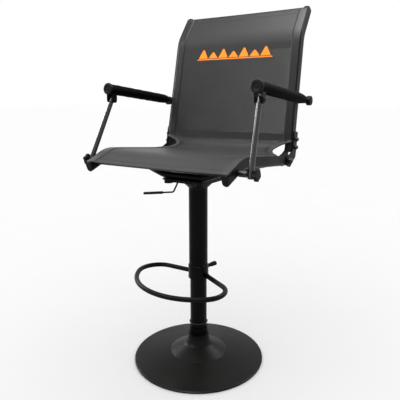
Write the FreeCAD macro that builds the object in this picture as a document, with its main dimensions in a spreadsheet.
import FreeCAD, Part
import math
import os
import re
import Sketcher

# Swivel chair for a hunting blind: a trumpet base, a gas-lift column with a sliding foot ring,
# and a folding sling seat whose arms and posts move with the back.
# Millimetres. +Z is up, the chair faces -Y, the sitter's left is +X. Origin: centre of the floor face.

doc = FreeCAD.newDocument("BlindSwivelChair")
sheet = doc.addObject("Spreadsheet::Sheet", "dims")

DIMENSIONS = [
    # base
    ("base_radius", 228, "outer radius of the trumpet base"),
    ("pad_radius", 221, "rubber floor pad"),
    ("pad_thick", 3, "rubber floor pad"),
    ("weight_radius", 185, "cast weight plate inside the base"),
    ("weight_thick", 7, "cast weight plate"),
    ("rim_low", 1.5, "bottom of the rim"),
    ("rim_high", 7, "top of the rim"),
    ("dish_wall", 2.5, "steel of the base shell"),
    ("cone_start_r", 100, "where the flare meets the flat cone"),
    ("cone_start_z", 27.5, "where the flare meets the flat cone"),
    ("flare_radius", 75, "radius of the concave flare"),
    ("neck_radius", 35, "neck ring of the base"),
    ("neck_high", 86, "top of the neck ring"),
    # column
    ("column_radius", 29, "lower column tube"),
    ("column_bore", 26, "lower column tube"),
    ("flange_high", 16, "top of the flange welded to the column's foot"),
    ("column_high", 596, "top of the lower column tube"),
    ("collar_low", 97, "retaining collar above the neck"),
    ("collar_high", 116, "retaining collar above the neck"),
    ("collar_radius", 31.6, "retaining collar above the neck"),
    ("bump_z", 133, "bump ring on the column"),
    ("anchor_low", 34, "anchor plate that holds the piston rod"),
    ("anchor_thick", 6, "anchor plate that holds the piston rod"),
    ("bush_low", 516, "guide bush in the top of the column"),
    ("running_gap", 0.05, "radial gap of every running fit"),
    # gas lift
    ("rod_radius", 5, "piston rod"),
    ("rod_low", 26, "bottom of the piston rod"),
    ("rod_high", 286, "top of the piston rod"),
    ("piston_thick", 14, "piston on the rod"),
    ("cylinder_radius", 14, "gas cylinder"),
    ("cylinder_bore", 12, "gas cylinder"),
    ("cylinder_low", 58, "bottom of the gas cylinder"),
    ("cylinder_high", 636, "top of the gas cylinder"),
    ("end_plug_long", 22, "sealed guide at the cylinder's bottom"),
    ("pin_radius", 4, "valve pin"),
    ("pin_high", 643.4, "top of the valve pin"),
    ("pin_long", 40, "valve pin"),
    # sleeve and swivel mechanism
    ("sleeve_radius", 32.25, "upper sleeve"),
    ("sleeve_bore", 30, "upper sleeve"),
    ("sleeve_low", 345, "bottom of the upper sleeve"),
    ("bell_low", 616, "bottom of the bell"),
    ("bell_high", 639.5, "top of the bell"),
    ("bell_radius", 52, "widest radius of the bell"),
    ("hub_radius", 25, "taper hub under the pan"),
    ("hub_low", 606, "bottom of the taper hub"),
    ("pan_low", 640, "bottom of the mechanism pan"),
    ("pan_wall", 2.5, "mechanism pan"),
    ("pan_half_x", 65, "mechanism pan"),
    ("pan_half_y", 70, "mechanism pan"),
    ("plate_low", 653, "mounting plate above the pan"),
    ("plate_thick", 3, "mounting plate"),
    ("plate_half_x", 80, "mounting plate"),
    ("plate_half_y", 104, "mounting plate"),
    ("nut_x", 60, "frame nuts"),
    ("nut_radius", 14.5, "plastic cap of each frame nut"),
    ("nut_high", 12, "plastic cap of each frame nut"),
    # release lever
    ("lever_pivot_x", -30, "lever pivot"),
    ("lever_z", 646.8, "lever pivot"),
    ("lever_inner_x", 10, "inner end of the rod, above the valve pin"),
    ("lever_radius", 3, "lever rod"),
    ("lever_drop_x", -74, "where the rod turns down"),
    ("lever_bend_x", -104, "where the rod turns out"),
    ("lever_bend_z", 590, "where the rod turns out"),
    ("lever_end_x", -238, "tip of the rod"),
    ("lever_end_z", 571, "tip of the rod"),
    ("lever_grip_radius", 5.2, "lever grip"),
    ("lever_grip_long", 88, "lever grip"),
    # foot ring
    ("foot_turn", -13.5, "how far the foot ring is turned on the column, degrees"),
    ("foot_z", 309, "centre of the foot ring's tube"),
    ("foot_tube", 8, "radius of the foot ring's tube"),
    ("foot_reach", 214, "radius of the foot ring's front"),
    ("foot_bow_x", 102.5, "corner of the front bow"),
    ("foot_corner_x", 236.5, "corner of the arms"),
    ("foot_corner_y", -47.6, "corner of the arms"),
    ("foot_corner_radius", 69, "bend at the corners"),
    ("foot_arm_y", 9.5, "where an arm meets the collar"),
    ("foot_collar_low", 299, "foot ring collar"),
    ("foot_collar_high", 344.4, "foot ring collar"),
    ("foot_collar_radius", 35, "foot ring collar"),
    ("foot_liner_radius", 31.5, "nylon liner in the collar"),
    ("foot_knob_z", 327, "clamp knob"),
    ("foot_knob_radius", 8.5, "clamp knob"),
    ("foot_knob_start", 47, "clamp knob"),
    ("foot_knob_end", 86, "clamp knob"),
    # side rails
    ("rail_x", 250, "centre of each side rail"),
    ("rail_half", 11, "half the width of a rail"),
    ("rail_deep", 17, "half the depth of a rail, with the lip"),
    ("lip_high", 3, "lip that the sling's edge tucks behind"),
    ("lip_wide", 2.6, "lip that the sling's edge tucks behind"),
    ("rail_wall", 2, "wall of the rails"),
    ("hinge_y", 147, "back hinge"),
    ("hinge_z", 710.5, "back hinge"),
    ("seat_slope", 4.9, "rise of the seat rails towards the front, degrees"),
    ("seat_straight", 306, "hinge to the bend of the seat rail"),
    ("seat_drop", 26.4, "turn of the seat rail at the bend, degrees"),
    ("seat_nose", 98, "bend to the front end of the seat rail"),
    ("seat_bend", 110, "bend radius of the seat rail"),
    ("back_lean", 11, "lean of the back, degrees"),
    ("back_taper", 1, "how far each back rail leans inwards, degrees"),
    ("back_behind", 36.1, "back rail centre line behind the hinge"),
    ("back_start", 32, "lower end of the back rail above the hinge"),
    ("back_straight", 398, "lower end to the bend of the back rail"),
    ("back_kick", 24, "turn of the back rail at the bend, degrees"),
    ("back_tip", 110, "bend to the top end of the back rail"),
    ("back_bend", 110, "bend radius of the back rail"),
    ("cap_thick", 4, "plastic end caps of the rails"),
    # cross bars
    ("bar_radius", 11, "cross bars under the seat"),
    ("front_bar_y", -85, "front cross bar"),
    ("rear_bar_y", 85, "rear cross bar"),
    ("bar_flat", 75, "flat middle of a cross bar"),
    ("bar_bend", 90, "bend radius of a cross bar"),
    ("nose_bar_radius", 8, "bar under the front edge"),
    ("nose_bar_back", 62, "bend of the rail to the front edge bar"),
    ("nose_bar_drop", 2, "front edge bar below the rail's centre line"),
    ("back_bar_radius", 12.5, "cross bars of the back"),
    ("back_low_bar", 48, "lower back bar above the rail's end"),
    ("back_high_bar", 370, "upper back bar above the rail's end"),
    # hinge brackets
    ("cheek_thick", 4, "hinge cheeks"),
    ("cheek_gap", 0.4, "gap between a cheek and the rail"),
    ("cheek_radius", 20, "lobe of a cheek round the hinge bolt"),
    ("cheek_high", 70, "top of a cheek above the rail's end"),
    ("hinge_bolt", 5, "radius of the hinge bolt"),
    ("cheek_bolt_low", 17, "lower bracket bolt above the rail's end"),
    ("cheek_bolt_high", 44, "upper bracket bolt above the rail's end"),
    # arms and posts
    ("arm_x", 283, "rear pivot of each arm"),
    ("toe_x", 276, "front pivot of each arm, which toes in"),
    ("post_x", 296, "lower pivot of the posts, which lean inwards"),
    ("post_room", 1.5, "room for the lean between a post and the faces beside it"),
    ("arm_rise", 196, "height of the arm pivot above the hinge"),
    ("arm_back", 86, "arm pivot behind the hinge"),
    ("post_y", -196, "lower pivot of the posts"),
    ("post_z", 714, "lower pivot of the posts"),
    ("post_radius", 8, "post tube"),
    ("post_bore", 6.4, "post tube"),
    ("post_tail", 12, "post tube beyond its lower pivot"),
    ("post_head", 7, "post tube beyond its upper pivot"),
    ("pivot_bolt", 4, "radius of the arm and post bolts"),
    ("open_gap", 0.4, "radial gap at the upper post pivot"),
    ("arm_tilt", 5.9, "rise of the arms towards the front, degrees"),
    ("arm_lift", 2, "arm axis above its rear pivot"),
    ("arm_tube", 11, "radius of the arm tube"),
    ("arm_tube_bore", 9.4, "radius of the arm tube's bore"),
    ("arm_long", 357, "rear pivot to the front of the arm tube"),
    ("foam_radius", 17, "foam sleeve of an arm"),
    ("foam_start", 40, "rear end of the foam, from the pivot"),
    ("foam_neck", 22, "length over which the foam narrows at its rear"),
    ("tongue_thick", 8, "flat rear end of an arm"),
    ("arm_cap_radius", 19.5, "front cap of an arm"),
    ("arm_cap_thick", 9, "front cap of an arm"),
    ("ear_gap", 10, "half the inside width of the clevis"),
    ("ear_thick", 3, "clevis ears"),
    ("ear_half", 11, "half the width of an ear"),
    ("ear_top", 931, "top of the clevis"),
    ("star_radius", 18, "star knob of a post"),
    ("star_thick", 11, "star knob of a post"),
    ("disc_radius", 16, "cap of the arm pivot"),
    # sling
    ("sling_thick", 2.4, "woven sling"),
    ("sling_edge", 258, "half the width of the sling, where it meets the lips"),
    ("sling_rear", 112, "hinge to the rear edge of the seat panel on the rails"),
    ("sling_low", 33, "rail end to the lower edge of the back panel"),
]

for row, (alias, value, note) in enumerate(DIMENSIONS, start=1):
    sheet.set("A%d" % row, note)
    sheet.set("B%d" % row, str(value))
    sheet.setAlias("B%d" % row, alias)
doc.recompute()

ALIASES = {alias for alias, _, _ in DIMENSIONS}
PARTS = []


def formula(text):
    """A sheet formula from plain words: every alias gets the sheet's name in front."""
    def named(word):
        return "dims." + word[0] if word[0] in ALIASES else word[0]
    return re.sub(r"[A-Za-z_]\w*", named, str(text))


def number(text):
    """The value of a formula."""
    return float(sheet.evalExpression(formula(text)))


def bind(item, **formulas):
    """Bind properties of an object to the sheet; in a property's name, __ stands for a dot."""
    for name, text in formulas.items():
        item.setExpression(name.replace("__", "."), formula(text))


def place(item, spot=(0, 0, 0), turns=()):
    """Bind an object's Placement: turns are (axis, degrees), the first one made first."""
    rotation = "rotation(vector(0; 0; 1); 0)"
    for axis, degrees in turns:
        step = "rotation(vector(%d; %d; %d); %s)" % (*axis, formula(degrees))
        rotation = step if rotation.endswith("; 0)") else "%s * %s" % (step, rotation)
    base = "vector(%s)" % "; ".join(formula(part) for part in spot)
    item.setExpression("Placement", "placement(%s; %s)" % (base, rotation))


def new_body(label):
    """An empty body with the label that names its file."""
    body = doc.addObject("PartDesign::Body", label)
    body.Label = label
    PARTS.append(body)
    return body


def new_sketch(body, role, offset=0):
    """A sketch on one of the body's own origin planes, moved along that plane's normal."""
    sketch = body.newObject("Sketcher::SketchObject", body.Name + "_sketch")
    plane = next(item for item in body.Origin.OriginFeatures if item.Role == role)
    sketch.AttachmentSupport = [(plane, "")]
    sketch.MapMode = "FlatFace"
    sketch.setExpression("AttachmentOffset.Base.z", formula(offset))
    return sketch


def pin_point(sketch, geometry, end, spot):
    """Hold a point of the sketch at a place given by two formulas."""
    for kind, text in zip(("DistanceX", "DistanceY"), spot):
        index = sketch.addConstraint(Sketcher.Constraint(kind, -1, 1, geometry, end, number(text)))
        sketch.setExpression("Constraints[%d]" % index, formula(text))


def draw_circle(sketch, centre, radius):
    """A circle held by its centre and radius."""
    middle = FreeCAD.Vector(number(centre[0]), number(centre[1]), 0)
    shape = Part.Circle(middle, FreeCAD.Vector(0, 0, 1), number(radius))
    index = sketch.addGeometry(shape, False)
    pin_point(sketch, index, 3, centre)
    held = sketch.addConstraint(Sketcher.Constraint("Radius", index, number(radius)))
    sketch.setExpression("Constraints[%d]" % held, formula(radius))


def draw_run(sketch, corners, bends, closed):
    """Straight lines through the corners, with an arc of the given radius where one is named.

    The corners are held by construction lines, and the visible lines lie on those.
    """
    spots = [FreeCAD.Vector(number(x), number(y), 0) for x, y in corners]
    count = len(spots)
    sides = count if closed else count - 1
    guides = []
    for side in range(sides):
        line = Part.LineSegment(spots[side], spots[(side + 1) % count])
        guides.append(sketch.addGeometry(line, bool(bends)))
        pin_point(sketch, guides[-1], 1, corners[side])
        if side == sides - 1 and not closed:
            pin_point(sketch, guides[-1], 2, corners[-1])
    for side in range(sides):
        follower = (side + 1) % sides
        if closed or side < sides - 1:
            sketch.addConstraint(Sketcher.Constraint("Coincident", guides[side], 2, guides[follower], 1))
    if not bends:
        return
    cuts = {}
    for corner, radius in bends.items():
        before = (spots[corner - 1] - spots[corner]).normalize()
        after = (spots[(corner + 1) % count] - spots[corner]).normalize()
        half = before.getAngle(after) / 2
        reach = number(radius) / math.tan(half)
        middle = spots[corner] + (before + after).normalize() * (number(radius) / math.sin(half))
        cuts[corner] = (spots[corner] + before * reach, spots[corner] + after * reach, middle)
    lines = []
    for side in range(sides):
        start, finish = side, (side + 1) % count
        first = cuts[start][1] if start in cuts else spots[start]
        last = cuts[finish][0] if finish in cuts else spots[finish]
        lines.append(sketch.addGeometry(Part.LineSegment(first, last), False))
        for end, corner, guide_end in ((1, start, 1), (2, finish, 2)):
            if corner in cuts:
                rule = Sketcher.Constraint("PointOnObject", lines[-1], end, guides[side])
            else:
                rule = Sketcher.Constraint("Coincident", lines[-1], end, guides[side], guide_end)
            sketch.addConstraint(rule)
    for corner, (near, far, middle) in cuts.items():
        centre = middle
        crest = centre + (spots[corner] - centre).normalize() * number(bends[corner])
        arc = Part.Arc(near, crest, far)
        arc_id = sketch.addGeometry(arc, False)
        held = sketch.getPoint(arc_id, 1)
        start_end = 1 if held.distanceToPoint(near) < held.distanceToPoint(far) else 2
        line_in = lines[(corner - 1) % sides]
        line_out = lines[corner % sides]
        sketch.addConstraint(Sketcher.Constraint("Tangent", line_in, 2, arc_id, start_end))
        sketch.addConstraint(Sketcher.Constraint("Tangent", line_out, 1, arc_id, 3 - start_end))
        size = sketch.addConstraint(Sketcher.Constraint("Radius", arc_id, number(bends[corner])))
        sketch.setExpression("Constraints[%d]" % size, formula(bends[corner]))


def add_turned(body, outline, bends=None, axis="V_Axis", role="XZ_Plane", groove=False):
    """Turn an outline of (radius, height) corners round the body's own axis."""
    sketch = new_sketch(body, role)
    draw_run(sketch, outline, bends or {}, True)
    kind = "PartDesign::Groove" if groove else "PartDesign::Revolution"
    turned = body.newObject(kind, body.Name + "_turned")
    turned.Profile = sketch
    turned.ReferenceAxis = (sketch, [axis])
    turned.Angle = 360
    return turned


def add_pad(body, role, offset, length, corners=None, bends=None, circles=(), cut=False, other_way=False):
    """Pad or cut a flat outline, circles or both, from an offset plane over a length."""
    sketch = new_sketch(body, role, offset)
    if corners:
        draw_run(sketch, corners, bends or {}, True)
    for centre, radius in circles:
        draw_circle(sketch, centre, radius)
    kind = "PartDesign::Pocket" if cut else "PartDesign::Pad"
    pad = body.newObject(kind, body.Name + "_pad")
    pad.Profile = sketch
    bind(pad, Length=length)
    pad.Reversed = (not other_way) if cut else other_way
    return pad


def add_pipe(body, path_role, corners, bends, section_role, radius, bore=None, draw=None):
    """Sweep a round section, or one that draw makes, along a bent path that starts on the section's plane."""
    path = new_sketch(body, path_role)
    draw_run(path, corners, bends, False)
    section = new_sketch(body, section_role)
    if draw:
        draw(section)
    else:
        draw_circle(section, (0, 0), radius)
        if bore:
            draw_circle(section, (0, 0), bore)
    pipe = body.newObject("PartDesign::AdditivePipe", body.Name + "_pipe")
    pipe.Profile = section
    pipe.Spine = (path, ["Edge%d" % (index + 1) for index in range(len(corners) - 1 + len(bends))])
    return pipe


def mirror(body, feature, role="YZ_Plane"):
    """Mirror a feature across one of the body's own planes."""
    plane = next(item for item in body.Origin.OriginFeatures if item.Role == role)
    twin = body.newObject("PartDesign::Mirrored", body.Name + "_mirrored")
    twin.Originals = [feature]
    twin.MirrorPlane = (plane, [""])
    body.Tip = twin
    return twin


def ring(label, outer, inner, low, high):
    """A plain ring or tube round the column's axis."""
    body = new_body(label)
    add_turned(body, [(inner, low), (outer, low), (outer, high), (inner, high)])
    return body


def plug(label, radius, low, high):
    """A plain round bar on the column's axis."""
    return ring(label, radius, 0, low, high)


X_AXIS, Y_AXIS, Z_AXIS = (1, 0, 0), (0, 1, 0), (0, 0, 1)
SIDES = (("left", -1), ("right", 1))


def round_bar(label, centre, radius, length, axis, bore=None):
    """A primitive round bar, or tube, whose middle is at centre and which runs along axis."""
    bar = doc.addObject("Part::Cylinder", label + "_solid")
    bind(bar, Radius=radius, Height=length)
    turn = {X_AXIS: [(Y_AXIS, 90)], Y_AXIS: [(X_AXIS, -90)], Z_AXIS: []}[axis]
    spot = ["%s - (%s) / 2 * %d" % (centre[i], length, axis[i]) for i in range(3)]
    place(bar, spot, turn)
    if bore is None:
        return bar
    hole = doc.addObject("Part::Cylinder", label + "_hole")
    bind(hole, Radius=bore, Height="(%s) + 2" % length)
    spot = ["%s - ((%s) / 2 + 1) * %d" % (centre[i], length, axis[i]) for i in range(3)]
    place(hole, spot, turn)
    tube = doc.addObject("Part::Cut", label + "_tube")
    tube.Base = bar
    tube.Tool = hole
    return tube


def group(label, members):
    """Several separate solids, such as identical fasteners, kept as one named sub-part."""
    joined = doc.addObject("Part::Compound", label)
    joined.Links = members
    joined.Label = label
    PARTS.append(joined)
    return joined


def fused(label, members):
    """Overlapping primitives joined into one solid."""
    joined = doc.addObject("Part::MultiFuse", label)
    joined.Shapes = members
    joined.Label = label
    return joined


# ---------------------------------------------------------------- base

def make_base():
    """Trumpet base: rubber pad, weight plate, spun shell, neck ring."""
    plug("floor_pad", "pad_radius", 0, "pad_thick")
    plug("weight_plate", "weight_radius", "pad_thick", "pad_thick + weight_thick")
    shell = new_body("base_shell")
    slope = "(rim_high - cone_start_z) / (base_radius - 3 - cone_start_r)"
    inner_z = "cone_start_z - dish_wall + (%s) * (weight_radius - cone_start_r)" % slope
    outline = [
        ("pad_radius + 1", "rim_low"),
        ("base_radius", "rim_low"),
        ("base_radius", "rim_high - 1.5"),
        ("base_radius - 3", "rim_high"),
        ("cone_start_r", "cone_start_z"),
        ("column_radius + 9.5", "cone_start_z + 32"),
        ("neck_radius", "neck_high"),
        ("column_radius + 1.5", "neck_high"),
        ("column_radius + 1.5", "cone_start_z + 34"),
        ("cone_start_r - 8", "cone_start_z - dish_wall"),
        ("weight_radius", inner_z),
        ("pad_radius + 1", "rim_high - dish_wall"),
    ]
    add_turned(shell, outline, {5: "flare_radius - 40"})
    ring("neck_ring", "neck_radius + 0.6", "column_radius + 1.5", "neck_high", "neck_high + 4")
    ring("retaining_collar", "collar_radius", "column_radius", "collar_low", "collar_high")
    bump = doc.addObject("Part::Torus", "bump_ring_round")
    bind(bump, Radius1="column_radius + 1.2", Radius2=2.2)
    place(bump, (0, 0, "bump_z"))
    core = round_bar("bump_core", (0, 0, "bump_z"), "column_radius", 8, Z_AXIS)
    bead = doc.addObject("Part::Cut", "bump_ring")
    bead.Base = bump
    bead.Tool = core
    bead.Label = "bump_ring"
    PARTS.append(bead)


def make_column():
    """Lower column tube with its welded flange and anchor plate, thrust bearing, guide bush and bolts."""
    column = new_body("column_tube")
    outline = [
        ("column_bore", "pad_thick + weight_thick"),
        ("column_radius + 14", "pad_thick + weight_thick"),
        ("column_radius + 14", "flange_high"),
        ("column_radius", "flange_high"),
        ("column_radius", "column_high"),
        ("column_bore", "column_high"),
        ("column_bore", "anchor_low + anchor_thick"),
        ("rod_radius + running_gap", "anchor_low + anchor_thick"),
        ("rod_radius + running_gap", "anchor_low"),
        ("column_bore", "anchor_low"),
    ]
    add_turned(column, outline)
    ring("thrust_bearing", 11, "rod_radius + running_gap", "anchor_low + anchor_thick",
         "anchor_low + anchor_thick + 5")
    ring("guide_bush", "column_bore", "cylinder_radius + running_gap", "bush_low", "column_high")
    bolts = []
    for index in range(4):
        angle = math.radians(45 + 90 * index)
        spot = ("36.5 * %f" % math.cos(angle), "36.5 * %f" % math.sin(angle), "flange_high + 2.5")
        bolts.append(round_bar("flange_bolt_%d" % index, spot, 4.5, 5, Z_AXIS))
    group("flange_bolts", bolts)


def make_gas_lift():
    """Piston rod held by the anchor plate, and the gas cylinder that rises over it."""
    rod = new_body("piston_rod")
    outline = [
        (0, "rod_low"),
        ("rod_radius", "rod_low"),
        ("rod_radius", "rod_high"),
        ("cylinder_bore - running_gap", "rod_high"),
        ("cylinder_bore - running_gap", "rod_high + piston_thick"),
        (0, "rod_high + piston_thick"),
    ]
    add_turned(rod, outline)
    ring("rod_clip", "rod_radius + 5", "rod_radius", "rod_low + 1", "anchor_low - 0.3")
    cylinder = new_body("gas_cylinder")
    outline = [
        ("rod_radius + running_gap", "cylinder_low"),
        ("cylinder_radius", "cylinder_low"),
        ("cylinder_radius", "cylinder_high"),
        ("pin_radius + running_gap", "cylinder_high"),
        ("pin_radius + running_gap", "cylinder_high - 34"),
        ("cylinder_bore", "cylinder_high - 34"),
        ("cylinder_bore", "cylinder_low + end_plug_long"),
        ("rod_radius + running_gap", "cylinder_low + end_plug_long"),
    ]
    add_turned(cylinder, outline)
    plug("valve_pin", "pin_radius", "pin_high - pin_long", "pin_high")


# ---------------------------------------------------------------- sleeve and mechanism

def make_sleeve():
    """Upper sleeve, and the bell that hides the mechanism's hub."""
    ring("upper_sleeve", "sleeve_radius", "sleeve_bore", "sleeve_low", "bell_low")
    bell = new_body("column_bell")
    outline = [
        ("sleeve_bore", "bell_low"),
        ("sleeve_radius", "bell_low"),
        ("sleeve_radius + 1", "bell_low + 3"),
        ("bell_radius", "bell_high - 3"),
        ("bell_radius", "bell_high"),
        ("sleeve_bore + 4", "bell_high"),
    ]
    add_turned(bell, outline)


def make_mechanism():
    """Hub, pressed pan and mounting plate that carry the seat frame."""
    pan = new_body("mechanism_pan")
    corners = [("-pan_half_x", "-pan_half_y"), ("pan_half_x", "-pan_half_y"),
               ("pan_half_x", "pan_half_y"), ("-pan_half_x", "pan_half_y")]
    inner = []
    for x, y in corners:
        inner.append(("(%s) * (1 - pan_wall / pan_half_x)" % x, "(%s) * (1 - pan_wall / pan_half_y)" % y))
    rounds = {index: 12 for index in range(4)}
    inner_rounds = {index: 9.5 for index in range(4)}
    add_pad(pan, "XY_Plane", "pan_low", "plate_low - pan_low", corners, rounds)
    add_pad(pan, "XY_Plane", "pan_low + pan_wall", "plate_low - pan_low", inner, inner_rounds, cut=True)
    add_pad(pan, "XY_Plane", "hub_low", "pan_low - hub_low + 1", circles=[((0, 0), "hub_radius")])
    add_pad(pan, "XY_Plane", "hub_low - 1", "pan_low - hub_low + 1", circles=[((0, 0), "cylinder_radius")],
            cut=True)
    floor_hole = [((0, 0), "cylinder_radius + 0.5")]
    add_pad(pan, "XY_Plane", "pan_low - 1", "pan_wall + 2", circles=floor_hole, cut=True)
    slot = [("-pan_half_x - 1", -5), ("-pan_half_x + pan_wall + 1", -5),
            ("-pan_half_x + pan_wall + 1", 5), ("-pan_half_x - 1", 5)]
    add_pad(pan, "XY_Plane", "pan_low + pan_wall", "plate_low - pan_low", slot, cut=True)
    plate = new_body("mounting_plate")
    corners = [("-plate_half_x", "-plate_half_y"), ("plate_half_x", "-plate_half_y"),
               ("plate_half_x", "plate_half_y"), ("-plate_half_x", "plate_half_y")]
    holes = [(("%d * nut_x" % x, y), 4.2) for x in (-1, 1) for y in ("front_bar_y", "rear_bar_y")]
    add_pad(plate, "XY_Plane", "plate_low", "plate_thick", corners, {index: 18 for index in range(4)}, holes)
    bolts = []
    for x in (-1, 1):
        for y in ("front_bar_y", "rear_bar_y"):
            name = "%d_%s" % (x + 1, y)
            spot = ("%d * nut_x" % x, y, "plate_low - nut_high / 2")
            nut = round_bar("frame_nut_" + name, spot, "nut_radius", "nut_high", Z_AXIS)
            spot = ("%d * nut_x" % x, y, "plate_low + 9")
            shank = round_bar("frame_shank_" + name, spot, 4, 42, Z_AXIS)
            bolts.append(fused("frame_bolt_" + name, [nut, shank]))
    group("frame_bolts", bolts)


def make_lever():
    """Release lever: bent rod with an eye on its pivot, grip, and the bracket with its riveted pin."""
    rod = new_body("lever_rod")
    corners = [("lever_inner_x", "lever_z"), ("lever_drop_x", "lever_z"), ("lever_bend_x", "lever_bend_z"),
               ("lever_end_x", "lever_end_z")]
    path = new_sketch(rod, "XZ_Plane")
    draw_run(path, corners, {1: 10, 2: 14}, False)
    section = new_sketch(rod, "YZ_Plane", "lever_inner_x")
    draw_circle(section, (0, "lever_z"), "lever_radius")
    pipe = rod.newObject("PartDesign::AdditivePipe", "lever_rod_pipe")
    pipe.Profile = section
    pipe.Spine = (path, ["Edge%d" % (index + 1) for index in range(5)])
    eye = [(("lever_pivot_x", "lever_z"), 4)]
    add_pad(rod, "XZ_Plane", -4, 8, circles=eye)
    add_pad(rod, "XZ_Plane", -5, 10, circles=[(("lever_pivot_x", "lever_z"), "2 + running_gap")], cut=True)
    bar = round_bar("lever_grip_bar", (0, 0, 0), "lever_grip_radius", "lever_grip_long", X_AXIS,
                    "lever_radius")
    bar.Label = "lever_grip"
    fall = number("atan2(lever_bend_z - lever_end_z; lever_bend_x - lever_end_x)")
    place(bar, ("lever_end_x + lever_grip_long / 2 - 1.5", 0,
                "lever_end_z + (lever_grip_long / 2 - 1.5) * tan(%f)" % fall), [(Y_AXIS, -fall)])
    PARTS.append(bar)
    bracket = new_body("lever_bracket")
    ear = [("lever_pivot_x - 6", "pan_low + pan_wall"), ("lever_pivot_x + 6", "pan_low + pan_wall"),
           ("lever_pivot_x + 6", "plate_low - 1"), ("lever_pivot_x - 6", "plate_low - 1")]
    add_pad(bracket, "XZ_Plane", -8, 16, circles=[(("lever_pivot_x", "lever_z"), 2)])
    first = add_pad(bracket, "XZ_Plane", 5, 3, ear)
    mirror(bracket, first, "XZ_Plane")


# ---------------------------------------------------------------- foot ring

def make_foot_ring():
    """Foot ring: nylon liner, collar, bent tube loop, grub screw and clamp knob, turned on the column."""
    turned = [(Z_AXIS, "foot_turn")]
    liner = ring("foot_liner", "foot_liner_radius - running_gap", "column_radius + running_gap",
                 "foot_collar_low", "foot_collar_high")
    place(liner, (0, 0, 0), turned)
    collar = ring("foot_collar", "foot_collar_radius", "foot_liner_radius", "foot_collar_low",
                  "foot_collar_high")
    boss = [((0, "foot_knob_z"), 9)]
    add_pad(collar, "XZ_Plane", "-foot_collar_radius - 8", 10, circles=boss)
    hole = [((0, "foot_knob_z"), 4)]
    add_pad(collar, "XZ_Plane", "-foot_collar_radius - 9", "foot_collar_radius", circles=hole, cut=True)
    place(collar, (0, 0, 0), turned)
    loop = new_body("foot_loop")
    path = new_sketch(loop, "XY_Plane")
    corners = [(0, "-foot_reach"), ("foot_bow_x", "-foot_reach"), ("foot_corner_x", "foot_corner_y"),
               (26, "foot_arm_y")]
    draw_run(path, corners, {1: "foot_reach - 1", 2: "foot_corner_radius"}, False)
    section = new_sketch(loop, "YZ_Plane")
    draw_circle(section, ("-foot_reach", 0), "foot_tube")
    draw_circle(section, ("-foot_reach", 0), "foot_tube - 1.6")
    pipe = loop.newObject("PartDesign::AdditivePipe", "foot_loop_pipe")
    pipe.Profile = section
    pipe.Spine = (path, ["Edge%d" % (index + 1) for index in range(5)])
    mirror(loop, pipe)
    round_cut = [((0, 0), "foot_collar_radius")]
    add_pad(loop, "XY_Plane", -30, 60, circles=round_cut, cut=True)
    place(loop, (0, 0, "foot_z"), turned)
    knob = new_body("foot_knob")
    outline = [(0, "foot_liner_radius + 0.3"), ("3.9", "foot_liner_radius + 0.3"), ("3.9", "foot_knob_start"),
               ("foot_knob_radius - 2", "foot_knob_start"), ("foot_knob_radius", "foot_knob_start + 6"),
               ("foot_knob_radius", "foot_knob_end - 3"), ("foot_knob_radius - 3", "foot_knob_end"),
               (0, "foot_knob_end")]
    add_turned(knob, outline)
    place(knob, (0, 0, "foot_knob_z"), [(X_AXIS, -90), (Z_AXIS, "foot_turn")])


# ---------------------------------------------------------------- seat frame

def rail_section(side, towards):
    """Draw a rail's section: rounded, with a lip on the outer edge that the sling tucks behind.

    The sketch's first axis runs outwards on the right side; towards is +1 where the sling's
    face looks along the sketch's second axis, and -1 where it looks the other way.
    """
    def draw(sketch):
        outer = "%d * rail_half" % side
        inner = "%d * rail_half" % -side
        lip = "%d * (rail_half - lip_wide)" % side
        face = "%d * (rail_deep - lip_high)" % towards
        crest = "%d * rail_deep" % towards
        foot = "%d * rail_deep" % -towards
        corners = [(outer, crest), (lip, crest), (lip, face), (inner, face), (inner, foot), (outer, foot)]
        draw_run(sketch, corners, {3: 5, 4: 10, 5: 10}, True)
        wall = "(rail_half - rail_wall)"
        high = "%d * (rail_deep - lip_high - rail_wall)" % towards
        low = "%d * (rail_deep - rail_wall)" % -towards
        corners = [("-%s" % wall, high), (wall, high), (wall, low), ("-%s" % wall, low)]
        draw_run(sketch, corners, {0: 3, 1: 3, 2: 8, 3: 8}, True)
    return draw


def make_seat_rails():
    """Seat rails: straight from the hinge, then bent down at the front, with plastic end caps."""
    caps = []
    for name, side in SIDES:
        rail = new_body("seat_rail_" + name)
        corners = [(0, 0), ("-seat_straight", 0),
                   ("-seat_straight - seat_nose * cos(seat_drop)", "-seat_nose * sin(seat_drop)")]
        add_pipe(rail, "YZ_Plane", corners, {1: "seat_bend"}, "XZ_Plane", None, draw=rail_section(side, 1))
        lobe = [((0, 0), "rail_deep - 0.5")]
        add_pad(rail, "YZ_Plane", "-rail_half", "2 * rail_half", circles=lobe)
        hole = [((0, 0), "hinge_bolt")]
        add_pad(rail, "YZ_Plane", "-rail_half - 1", "2 * rail_half + 2", circles=hole, cut=True)
        post_spot = ("-(hinge_y - post_y) * cos(seat_slope) - (post_z - hinge_z) * sin(seat_slope)",
                     "(post_z - hinge_z) * cos(seat_slope) - (hinge_y - post_y) * sin(seat_slope)")
        add_pad(rail, "YZ_Plane", "-rail_half - 1", "2 * rail_half + 2", circles=[(post_spot, "pivot_bolt")],
                cut=True)
        place(rail, ("%d * rail_x" % side, "hinge_y", "hinge_z"), [(X_AXIS, "-seat_slope")])
        caps.append(make_cap("seat_cap_" + name, side, 1, "seat"))
    group("seat_caps", caps)


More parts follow.
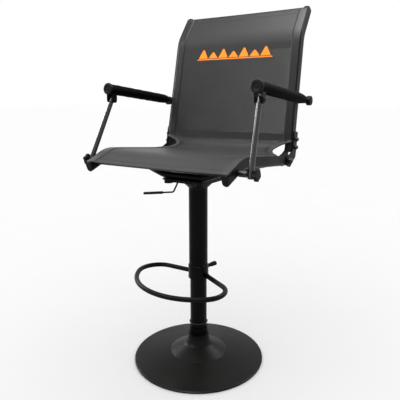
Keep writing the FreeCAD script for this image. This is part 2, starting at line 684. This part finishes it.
def make_cap(label, side, towards, which):
    """A plastic cap on the open end of a rail."""
    cap = doc.addObject("PartDesign::Body", label)
    sketch = new_sketch(cap, "XY_Plane")
    outer = "%d * (rail_half - 0.2)" % side
    inner = "%d * (rail_half - 0.2)" % -side
    top = "%d * (rail_deep - 0.6)" % towards
    foot = "%d * (rail_deep - 0.2)" % -towards
    corners = [(outer, top), (inner, top), (inner, foot), (outer, foot)]
    draw_run(sketch, corners, {0: 8, 1: 8, 2: 10, 3: 10}, True)
    pad = cap.newObject("PartDesign::Pad", label + "_pad")
    pad.Profile = sketch
    bind(pad, Length="cap_thick")
    if which == "seat":
        nose = "seat_drop - seat_slope"
        spot = ("%d * rail_x" % side,
                "hinge_y - seat_straight * cos(seat_slope) - seat_nose * cos(%s)" % nose,
                "hinge_z + seat_straight * sin(seat_slope) - seat_nose * sin(%s)" % nose)
        place(cap, spot, [(X_AXIS, "90 + (%s)" % nose)])
        return cap
    tip = "back_tip * cos(back_kick) + back_straight"
    spot = back_spot(side, "back_tip * sin(back_kick)", tip)
    place(cap, spot, [(X_AXIS, "-back_kick - back_lean"), (Y_AXIS, "%d * back_taper" % -side)])
    return cap


def make_seat_bars():
    """Two bowed cross bars on the mounting plate, and the bar under the front edge."""
    for name, y in (("front_cross_bar", "front_bar_y"), ("rear_cross_bar", "rear_bar_y")):
        bar = new_body(name)
        rise = "hinge_z + (hinge_y - (%s)) * tan(seat_slope) - 5 - (plate_low + plate_thick + bar_radius)" % y
        corners = [(0, 0), ("bar_flat", 0), ("rail_x - rail_half", rise)]
        pipe = add_pipe(bar, "XZ_Plane", corners, {1: "bar_bend"}, "YZ_Plane", "bar_radius",
                        "bar_radius - 1.8")
        mirror(bar, pipe)
        holes = [(("%d * nut_x" % x, 0), 4) for x in (-1, 1)]
        add_pad(bar, "XY_Plane", "-bar_radius - 1", "2 * bar_radius + 6", circles=holes, cut=True)
        place(bar, (0, y, "plate_low + plate_thick + bar_radius"))
    nose = "seat_drop - seat_slope"
    spot = (0, "hinge_y - seat_straight * cos(seat_slope) - nose_bar_back * cos(%s)" % nose,
            "hinge_z + seat_straight * sin(seat_slope) - nose_bar_back * sin(%s) - nose_bar_drop" % nose)
    tube = round_bar("front_edge_bar", spot, "nose_bar_radius", "2 * (rail_x - rail_half)", X_AXIS,
                     "nose_bar_radius - 1.5")
    tube.Label = "front_edge_bar"
    PARTS.append(tube)


def make_seat_sling():
    """Seat panel: a thin sheet over the rails, from the front edge to where it leaves them at the rear."""
    panel = new_body("seat_sling")
    path = [("-sling_rear", "rail_deep - lip_high"), ("-seat_straight", "rail_deep - lip_high"),
            ("-seat_straight - (seat_nose - 4) * cos(seat_drop)",
             "rail_deep - lip_high - (seat_nose - 4) * sin(seat_drop)")]
    outer = [(x, "%s + sling_thick" % z) for x, z in path]
    shift = "tan(seat_drop / 2)"
    path[1] = ("-seat_straight - (rail_deep - lip_high) * %s" % shift, "rail_deep - lip_high")
    outer[1] = ("-seat_straight - (rail_deep - lip_high + sling_thick) * %s" % shift,
                "rail_deep - lip_high + sling_thick")
    tilt = ("(rail_deep - lip_high) * sin(seat_drop)", "(rail_deep - lip_high) * (1 - cos(seat_drop))")
    path[2] = ("%s - %s" % (path[2][0], tilt[0]), "%s - %s" % (path[2][1], tilt[1]))
    outer[2] = ("%s - sling_thick * sin(seat_drop)" % path[2][0],
                "%s + sling_thick * cos(seat_drop)" % path[2][1])
    corners = path + outer[::-1]
    bends = {1: "seat_bend + rail_deep - lip_high", 4: "seat_bend + rail_deep - lip_high + sling_thick"}
    add_pad(panel, "YZ_Plane", "-sling_edge", "2 * sling_edge", corners, bends)
    place(panel, (0, "hinge_y", "hinge_z"), [(X_AXIS, "-seat_slope")])


def make_sling_bridge():
    """Slack part of the sling that bridges the corner between the seat panel and the back panel."""
    bridge = new_body("sling_bridge")
    front_y = "hinge_y - sling_rear * cos(seat_slope) + (rail_deep - lip_high) * sin(seat_slope)"
    front_z = "hinge_z + sling_rear * sin(seat_slope) + (rail_deep - lip_high) * cos(seat_slope)"
    reach = "back_behind - rail_deep + lip_high"
    high = "back_start + sling_low - 0.4"
    back_y = "hinge_y + (%s) * cos(back_lean) + (%s) * sin(back_lean)" % (reach, high)
    back_z = "hinge_z - (%s) * sin(back_lean) + (%s) * cos(back_lean)" % (reach, high)
    corners = [(front_y, front_z), ("%s - 26" % back_y, "%s - 18" % back_z),
               (back_y, back_z), ("%s - sling_thick" % back_y, back_z),
               ("%s - 26 - sling_thick" % back_y, "%s - 18 + sling_thick / 2" % back_z),
               (front_y, "%s + sling_thick" % front_z)]
    add_pad(bridge, "YZ_Plane", "-rail_x + rail_half + 8", "2 * (rail_x - rail_half - 8)", corners)


# ---------------------------------------------------------------- back

def back_spot(side, behind, above):
    """A place on a back rail: behind its centre line and above its lower end."""
    local_y = "(%s)" % behind
    local_z = "(%s)" % above
    low_y = "hinge_y + back_behind * cos(back_lean) + back_start * sin(back_lean)"
    low_z = "hinge_z - back_behind * sin(back_lean) + back_start * cos(back_lean)"
    flat_z = "(%s * cos(back_lean) - %s * sin(back_lean))" % (local_z, local_y)
    y = "%s + %s * cos(back_lean) + %s * sin(back_lean)" % (low_y, local_y, local_z)
    x = "%d * (rail_x - %s * sin(back_taper))" % (side, flat_z)
    z = "%s + %s * cos(back_taper)" % (low_z, flat_z)
    return (x, y, z)


def make_back_rails():
    """Back rails, bent backwards near the top, with end caps."""
    caps = []
    for name, side in SIDES:
        rail = new_body("back_rail_" + name)
        corners = [(0, 0), (0, "back_straight"),
                   ("back_tip * sin(back_kick)", "back_straight + back_tip * cos(back_kick)")]
        add_pipe(rail, "YZ_Plane", corners, {1: "back_bend"}, "XY_Plane", None, draw=rail_section(side, -1))
        rise = "(arm_rise + back_behind * sin(back_lean) - back_start * cos(back_lean))"
        setback = "(arm_back - back_behind * cos(back_lean) - back_start * sin(back_lean))"
        arm_hole = ("%s * cos(back_lean) - %s * sin(back_lean)" % (setback, rise),
                    "%s * sin(back_lean) + %s * cos(back_lean)" % (setback, rise))
        for spot in ((0, "cheek_bolt_low"), (0, "cheek_bolt_high"), arm_hole):
            add_pad(rail, "YZ_Plane", "-rail_half - 1", "2 * rail_half + 2",
                    circles=[(spot, "pivot_bolt + 0.5")], cut=True)
        place(rail, back_spot(side, 0, 0), [(X_AXIS, "-back_lean"), (Y_AXIS, "%d * back_taper" % -side)])
        caps.append(make_cap("back_cap_" + name, side, -1, "back"))
    group("back_caps", caps)


def make_back_bars():
    """Two cross bars behind the sling."""
    low_end = "rail_x - rail_half - cheek_gap - cheek_thick"
    high_end = "rail_x - rail_half - (back_high_bar + 12) * sin(back_taper)"
    bars = (("lower_back_bar", "back_low_bar", low_end), ("upper_back_bar", "back_high_bar", high_end))
    for name, above, end in bars:
        _, y, z = back_spot(1, 1, above)
        tube = round_bar(name, (0, y, z), "back_bar_radius", "2 * (%s)" % end, X_AXIS,
                         "back_bar_radius - 1.8")
        tube.Label = name
        PARTS.append(tube)


def make_hinges():
    """Hinge cheeks on both faces of each back rail, their bolts and the hinge bolts."""
    cheek_bolts, hinge_bolts = [], []
    for name, side in SIDES:
        cheeks = []
        spot = ("%d * rail_x" % side, "hinge_y", "hinge_z")
        for face, away in (("outer", side), ("inner", -side)):
            label = "cheek_%s_%s" % (name, face)
            middle = "%d * (rail_half + cheek_gap + cheek_thick / 2)" % away
            lobe_spot = ("%s + %s" % (spot[0], middle), "hinge_y", "hinge_z")
            lobe = round_bar(label + "_lobe", lobe_spot, "cheek_radius", "cheek_thick", X_AXIS)
            blade = new_plate(label + "_blade", side, middle)
            joined = fused(label + "_joined", [lobe, blade])
            hole = round_bar(label + "_bore", spot, "hinge_bolt + running_gap", 60, X_AXIS)
            cheek = doc.addObject("Part::Cut", label)
            cheek.Base = joined
            cheek.Tool = hole
            cheeks.append(cheek)
        group("hinge_cheeks_" + name, cheeks)
        for above in ("cheek_bolt_low", "cheek_bolt_high"):
            x, y, z = back_spot(side, 0, above)
            shank = round_bar("cheek_shank_%s_%s" % (name, above), (x, y, z), "pivot_bolt", 38, X_AXIS)
            head_x = "%s + %d * 20" % (x, side)
            head = round_bar("cheek_head_%s_%s" % (name, above), (head_x, y, z), 7.5, 5, X_AXIS)
            cheek_bolts.append(fused("cheek_bolt_%s_%s" % (name, above), [shank, head]))
        shank = round_bar("hinge_shank_" + name, spot, "hinge_bolt", 38, X_AXIS)
        head_x = "%d * (rail_x + 19.5)" % side
        head = round_bar("hinge_head_" + name, (head_x, "hinge_y", "hinge_z"), 11, 6, X_AXIS)
        nut_x = "%d * (rail_x - 19.5)" % side
        nut = round_bar("hinge_nut_" + name, (nut_x, "hinge_y", "hinge_z"), 9, 6, X_AXIS)
        hinge_bolts.append(fused("hinge_bolt_" + name, [shank, head, nut]))
    group("cheek_bolts", cheek_bolts)
    group("hinge_bolts", hinge_bolts)


def new_plate(label, side, middle):
    """The blade of a hinge cheek: from the hinge's lobe up along the back rail."""
    low_y = "back_behind - rail_deep + lip_high"
    rear_y = "back_behind + rail_deep - 2"
    top = "back_start + cheek_high"
    body = doc.addObject("PartDesign::Body", label)
    corners = [("-cheek_radius * 0.2", "cheek_radius * 0.9"), (0, "-cheek_radius"), (12, "-cheek_radius"),
               (rear_y, "back_start - 14"), (rear_y, top), (low_y, top), (low_y, "back_start + 4")]
    holes = [(("back_behind", "back_start + %s" % above), "pivot_bolt + 0.1")
             for above in ("cheek_bolt_low", "cheek_bolt_high")]
    add_pad(body, "YZ_Plane", "%s - cheek_thick / 2" % middle, "cheek_thick", corners, {4: 6, 5: 6}, holes)
    place(body, ("%d * rail_x" % side, "hinge_y", "hinge_z"), [(X_AXIS, "-back_lean")])
    return body


def make_back_sling():
    """Back panel: a thin sheet on the front of the back rails."""
    panel = new_body("back_sling")
    face = "-(rail_deep - lip_high)"
    shift = "tan(back_kick / 2)"
    near = [(face, "sling_low"), (face, "back_straight + (rail_deep - lip_high) * %s" % shift)]
    tip = ("(back_tip - 3) * sin(back_kick) - (rail_deep - lip_high) * cos(back_kick)",
           "back_straight + (back_tip - 3) * cos(back_kick) + (rail_deep - lip_high) * sin(back_kick)")
    near.append(tip)
    far = [("%s - sling_thick" % face, "sling_low"),
           ("%s - sling_thick" % face, "back_straight + (rail_deep - lip_high + sling_thick) * %s" % shift),
           ("%s - sling_thick * cos(back_kick)" % tip[0], "%s + sling_thick * sin(back_kick)" % tip[1])]
    corners = near + far[::-1]
    bends = {1: "back_bend + rail_deep - lip_high", 4: "back_bend + rail_deep - lip_high + sling_thick"}
    add_pad(panel, "YZ_Plane", "-sling_edge", "2 * sling_edge", corners, bends)
    long = "(back_straight + back_tip + 20)"
    sides = [("sling_edge + 30", 0), ("sling_edge", 0),
             ("sling_edge - %s * tan(back_taper) * cos(back_lean)" % long, long), ("sling_edge + 30", long)]
    trim = add_pad(panel, "XZ_Plane", -200, 400, sides, cut=True)
    mirror(panel, trim)
    low_y = "hinge_y + back_behind * cos(back_lean) + back_start * sin(back_lean)"
    low_z = "hinge_z - back_behind * sin(back_lean) + back_start * cos(back_lean)"
    place(panel, (0, low_y, low_z), [(X_AXIS, "-back_lean")])


# ---------------------------------------------------------------- arms and posts

def pivot_hole(label, spot, radius):
    """A tool that cuts a hole along X through a tube that isn't square to it."""
    return round_bar(label, spot, radius, 50, X_AXIS)


def cut_out(label, base, tool):
    """A sub-part made by taking a tool away from a base."""
    result = doc.addObject("Part::Cut", label)
    result.Base = base
    result.Tool = tool
    result.Label = label
    PARTS.append(result)


def make_arms():
    """Arms: tube with a flat rear end, foam sleeve, front cap, clevis and bolts."""
    pivot_y, pivot_z = "(hinge_y + arm_back)", "(hinge_z + arm_rise)"
    clevis_y, clevis_z = "(post_y + arm_back)", "(post_z + arm_rise)"
    pivot_bolts = []
    for name, side in SIDES:
        x = "%d * arm_x" % side
        toe_in = "%d * atan2(arm_x - toe_x; hinge_y - post_y)" % -side
        lean = [(X_AXIS, "90 - arm_tilt"), (Z_AXIS, toe_in)]
        origin = (x, pivot_y, "%s + arm_lift" % pivot_z)
        tube = doc.addObject("PartDesign::Body", "arm_bar_" + name)
        outline = [("arm_tube_bore", "foam_start - 22"), ("arm_tube", "foam_start - 22"),
                   ("arm_tube", "arm_long"), ("arm_tube_bore", "arm_long")]
        add_turned(tube, outline)
        corners = [("-arm_tube", "-15"), ("arm_tube", "-15"), ("arm_tube", "foam_start - 18"),
                   ("-arm_tube", "foam_start - 18")]
        add_pad(tube, "YZ_Plane", "-tongue_thick / 2", "tongue_thick", corners, {0: 10, 1: 10})
        place(tube, origin, lean)
        hole = pivot_hole("arm_hole_" + name, (x, pivot_y, pivot_z), "pivot_bolt + running_gap")
        cut_out("arm_tube_" + name, tube, hole)
        foam = new_body("arm_foam_" + name)
        outline = [("arm_tube", "foam_start - 16"), ("arm_tube + 1.5", "foam_start - 18"),
                   ("foam_radius - 1.5", "foam_start - 18 + foam_neck"), ("foam_radius", "foam_start + 20"),
                   ("foam_radius", "arm_long - 1"), ("arm_tube", "arm_long - 1")]
        add_turned(foam, outline)
        place(foam, origin, lean)
        cap = new_body("arm_cap_" + name)
        outline = [(0, "arm_long"), ("arm_cap_radius - 1.5", "arm_long"), ("arm_cap_radius", "arm_long + 2"),
                   ("arm_cap_radius", "arm_long + arm_cap_thick - 3"),
                   ("arm_cap_radius - 3", "arm_long + arm_cap_thick"), (0, "arm_long + arm_cap_thick")]
        add_turned(cap, outline)
        place(cap, origin, lean)
        clevis = new_body("arm_clevis_" + name)
        make_clevis(clevis, clevis_z)
        toe = "%d * toe_x" % side
        place(clevis, (toe, clevis_y, clevis_z))
        bolt_x = "%d * (toe_x + ear_gap + ear_thick + 2)" % side
        shank = round_bar("clevis_shank_" + name, (toe, clevis_y, clevis_z), "pivot_bolt",
                          "2 * (ear_gap + ear_thick) + 4", X_AXIS)
        head = round_bar("clevis_head_" + name, (bolt_x, clevis_y, clevis_z), 6.5, 4, X_AXIS)
        clevis_bolt = fused("clevis_bolt_" + name, [shank, head])
        PARTS.append(clevis_bolt)
        rail_face = "(rail_x + rail_half - (arm_rise - 20) * sin(back_taper))"
        length = "arm_x + tongue_thick / 2 - (%s) + 26" % rail_face
        spot = ("%d * (%s - 24 + (%s) / 2)" % (side, rail_face, length), pivot_y, pivot_z)
        shank = round_bar("arm_shank_" + name, spot, "pivot_bolt", length, X_AXIS)
        disc_x = "%d * (arm_x + tongue_thick / 2 + 7)" % side
        disc = round_bar("arm_disc_" + name, (disc_x, pivot_y, pivot_z), "disc_radius", 12, X_AXIS)
        wide = "arm_x - tongue_thick / 2 - 0.6 - (%s)" % rail_face
        spot = ("%d * (%s + (%s) / 2)" % (side, rail_face, wide), pivot_y, pivot_z)
        shoulder = round_bar("arm_shoulder_" + name, spot, 9, wide, X_AXIS)
        pivot_bolts.append(fused("arm_bolt_" + name, [shank, shoulder, disc]))
    group("arm_pivot_bolts", pivot_bolts)


def make_clevis(body, clevis_z):
    """A folded clevis: a saddle with a stud that goes up into the foam, and two round ears for the bolt."""
    top = "ear_top - %s" % clevis_z
    outer = "(ear_gap + ear_thick)"
    ear = [("-ear_half", top), ("ear_half", top), ("ear_half", "-ear_half"), ("-ear_half", "-ear_half")]
    lobes = {2: "ear_half - 0.5", 3: "ear_half - 0.5"}
    add_pad(body, "YZ_Plane", "-%s" % outer, "2 * %s" % outer, ear, lobes)
    roof = "%s - ear_thick" % top
    mouth = [("-ear_half - 1", roof), ("ear_half + 1", roof), ("ear_half + 1", "-ear_half - 1"),
             ("-ear_half - 1", "-ear_half - 1")]
    add_pad(body, "YZ_Plane", "-ear_gap", "2 * ear_gap", mouth, cut=True)
    add_pad(body, "XY_Plane", "%s - 1" % top, 2, circles=[((0, 0), 5)])
    add_pad(body, "YZ_Plane", "-%s - 1" % outer, "2 * %s + 2" % outer, circles=[((0, 0), "pivot_bolt")],
            cut=True)


def make_posts():
    """Posts between the seat rails and the arms, with their bolts, spacers and star knobs."""
    reach = "(post_x - toe_x)"
    length = "sqrt(%s ^ 2 + arm_back ^ 2 + arm_rise ^ 2)" % reach
    bolts = []
    for name, side in SIDES:
        x = "%d * post_x" % side
        tube = doc.addObject("PartDesign::Body", "post_tube_" + name)
        outline = [("post_bore", "-post_tail"), ("post_radius", "-post_tail"),
                   ("post_radius", "%s + post_head" % length), ("post_bore", "%s + post_head" % length)]
        add_turned(tube, outline)
        turns = [(Y_AXIS, "%d * asin(%s / %s)" % (-side, reach, length)),
                 (X_AXIS, "-atan2(arm_back; arm_rise)")]
        place(tube, (x, "post_y", "post_z"), turns)
        low = pivot_hole("post_low_hole_" + name, (x, "post_y", "post_z"), "pivot_bolt + running_gap")
        top_spot = ("%d * toe_x" % side, "post_y + arm_back", "post_z + arm_rise")
        high = pivot_hole("post_high_hole_" + name, top_spot, "pivot_bolt + open_gap")
        holes = doc.addObject("Part::Compound", "post_holes_" + name)
        holes.Links = [low, high]
        cut_out("post_" + name, tube, holes)
        inner = "rail_x + rail_half"
        wide = "post_x - post_radius - post_room - (%s)" % inner
        spot = ("%d * (%s + (%s) / 2)" % (side, inner, wide), "post_y", "post_z")
        shoulder = round_bar("post_shoulder_" + name, spot, 9.5, wide, X_AXIS)
        long = "post_x + post_radius + 5 - (rail_x - rail_half) + 5"
        spot = ("%d * (rail_x - rail_half - 5 + (%s) / 2)" % (side, long), "post_y", "post_z")
        shank = round_bar("post_shank_" + name, spot, "pivot_bolt", long, X_AXIS)
        nut_spot = ("%d * (rail_x - rail_half - 3)" % side, "post_y", "post_z")
        nut = round_bar("post_nut_" + name, nut_spot, 7.5, 6, X_AXIS)
        bolts.append(fused("post_bolt_" + name, [shank, shoulder, nut]))
        make_star("star_knob_" + name, side)
    group("post_bolts", bolts)


def make_star(label, side):
    """A five-lobed hand knob on the outer end of a post's lower bolt."""
    body = new_body(label)
    add_pad(body, "XY_Plane", 2, "star_thick", circles=[((0, 0), "star_radius - 4")])
    base = add_pad(body, "XY_Plane", 0, "star_thick - 1", circles=[((0, 0), "star_radius - 7")])
    lobe = add_pad(body, "XY_Plane", 2, "star_thick - 1", circles=[(("star_radius - 5.5", 0), 5.5)])
    lobes = body.newObject("PartDesign::PolarPattern", label + "_lobes")
    lobes.Originals = [lobe]
    axis = next(item for item in body.Origin.OriginFeatures if item.Role == "Z_Axis")
    lobes.Axis = (axis, [""])
    lobes.Angle = 360
    lobes.Occurrences = 5
    body.Tip = lobes
    add_pad(body, "XY_Plane", -1, 6, circles=[((0, 0), "pivot_bolt + running_gap")], cut=True)
    spot = ("%d * (post_x + post_radius + post_room)" % side, "post_y", "post_z")
    place(body, spot, [(Y_AXIS, "%d * 90" % side)])


make_base()
make_column()
make_gas_lift()
make_sleeve()
make_mechanism()
make_lever()
make_foot_ring()
make_seat_rails()
make_seat_bars()
make_seat_sling()
make_sling_bridge()
make_back_rails()
make_back_bars()
make_hinges()
make_back_sling()
make_arms()
make_posts()
doc.recompute()

for item in doc.Objects:
    if "Invalid" in item.State or "Error" in item.State:
        raise RuntimeError("%s failed: %s" % (item.Label, item.State))
for part in PARTS:
    if part.Shape.isNull() or not part.Shape.isValid():
        raise RuntimeError("%s has no valid shape" % part.Label)

os.makedirs("parts", exist_ok=True)
for part in PARTS:
    part.Shape.exportStep("parts/%s.step" % part.Label)
print("%d sub-parts written" % len(PARTS))
